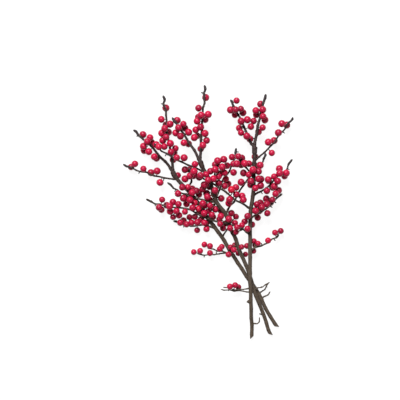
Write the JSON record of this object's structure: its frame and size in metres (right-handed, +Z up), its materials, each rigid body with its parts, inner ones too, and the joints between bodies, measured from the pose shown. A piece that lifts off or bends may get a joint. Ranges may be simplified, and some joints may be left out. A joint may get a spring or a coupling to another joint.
{
  "type": "holly sprig",
  "caption": "Bunch of cut, leafless winterberry holly sprigs with crossed stems and red berries, laid flat as an arrangement.",
  "frame": {"origin": "on the surface that the bunch lies on, at the flat underside of the lowest stem, below the place where the three stems cross", "axes": "+Y along the bunch from the cut ends to the berried heads, +X to the right-hand side seen from above with the heads away from the viewer, +Z up from the surface"},
  "size_m": [0.238, 0.3567, 0.0459],
  "materials": {
    "berried_twig": "red glossy berries on dark matt bark",
    "bark": "matt, dark grey-brown bark",
    "berry": "smooth, glossy red skin"
  },
  "bodies": {
    "root": {"sprig_left": "berried_twig", "sprig_middle": "berried_twig", "sprig_right": "berried_twig"}
  },
  "joints": []
}
